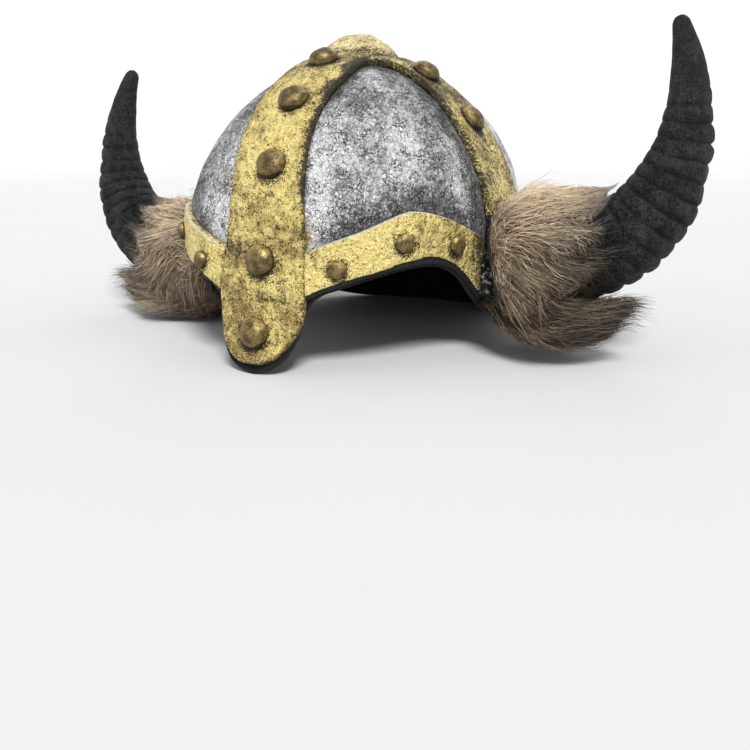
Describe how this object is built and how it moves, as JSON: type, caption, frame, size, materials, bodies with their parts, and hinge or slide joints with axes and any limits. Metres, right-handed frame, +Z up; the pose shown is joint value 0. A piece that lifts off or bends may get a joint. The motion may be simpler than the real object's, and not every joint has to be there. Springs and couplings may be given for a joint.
{
  "type": "horned viking helmet",
  "caption": "Costume viking helmet of moulded latex: silver dome with riveted gold bands, a nose guard, curved black horns and shaggy fur collars at their roots.",
  "frame": {"origin": "centre of the bounding box on the floor plane, under the middle of the dome", "axes": "+X towards the wearer's left and along the span of the horns, +Y towards the back of the head, +Z up through the crown boss; the nose guard faces -Y"},
  "size_m": [0.4376, 0.2669, 0.1907],
  "materials": {
    "silver_paint": "aged silver paint on pitted latex, black in the hollows",
    "gold_paint": "aged gold paint, mottled with brown and black",
    "dark_gold_paint": "dull bronze-gold paint, black round the foot",
    "black_latex": "matte charcoal, with stepped growth rings",
    "brown_fur": "long-pile taupe fake fur with dark tips"
  },
  "bodies": {
    "root": {"shell": "silver_paint", "front_band": "gold_paint", "back_band": "gold_paint", "side_band_left": "gold_paint", "side_band_right": "gold_paint", "brow_band_left": "gold_paint", "brow_band_right": "gold_paint", "rear_band_left": "gold_paint", "rear_band_right": "gold_paint", "crown_boss": "gold_paint", "front_rivet_1": "dark_gold_paint", "front_rivet_2": "dark_gold_paint", "front_rivet_3": "dark_gold_paint", "front_rivet_4": "dark_gold_paint", "front_rivet_5": "dark_gold_paint", "side_rivet_left_1": "dark_gold_paint", "side_rivet_left_2": "dark_gold_paint", "brow_rivet_left_1": "dark_gold_paint", "brow_rivet_left_2": "dark_gold_paint", "brow_rivet_left_3": "dark_gold_paint", "rear_rivet_left_1": "dark_gold_paint", "rear_rivet_left_2": "dark_gold_paint", "rear_rivet_left_3": "dark_gold_paint", "side_rivet_right_1": "dark_gold_paint", "side_rivet_right_2": "dark_gold_paint", "brow_rivet_right_1": "dark_gold_paint", "brow_rivet_right_2": "dark_gold_paint", "brow_rivet_right_3": "dark_gold_paint", "rear_rivet_right_1": "dark_gold_paint", "rear_rivet_right_2": "dark_gold_paint", "rear_rivet_right_3": "dark_gold_paint", "back_rivet_1": "dark_gold_paint", "back_rivet_2": "dark_gold_paint", "back_rivet_3": "dark_gold_paint", "back_rivet_4": "dark_gold_paint", "horn_left": "black_latex", "horn_right": "black_latex", "fur_collar_left": "brown_fur", "fur_collar_right": "brown_fur"}
  },
  "joints": []
}
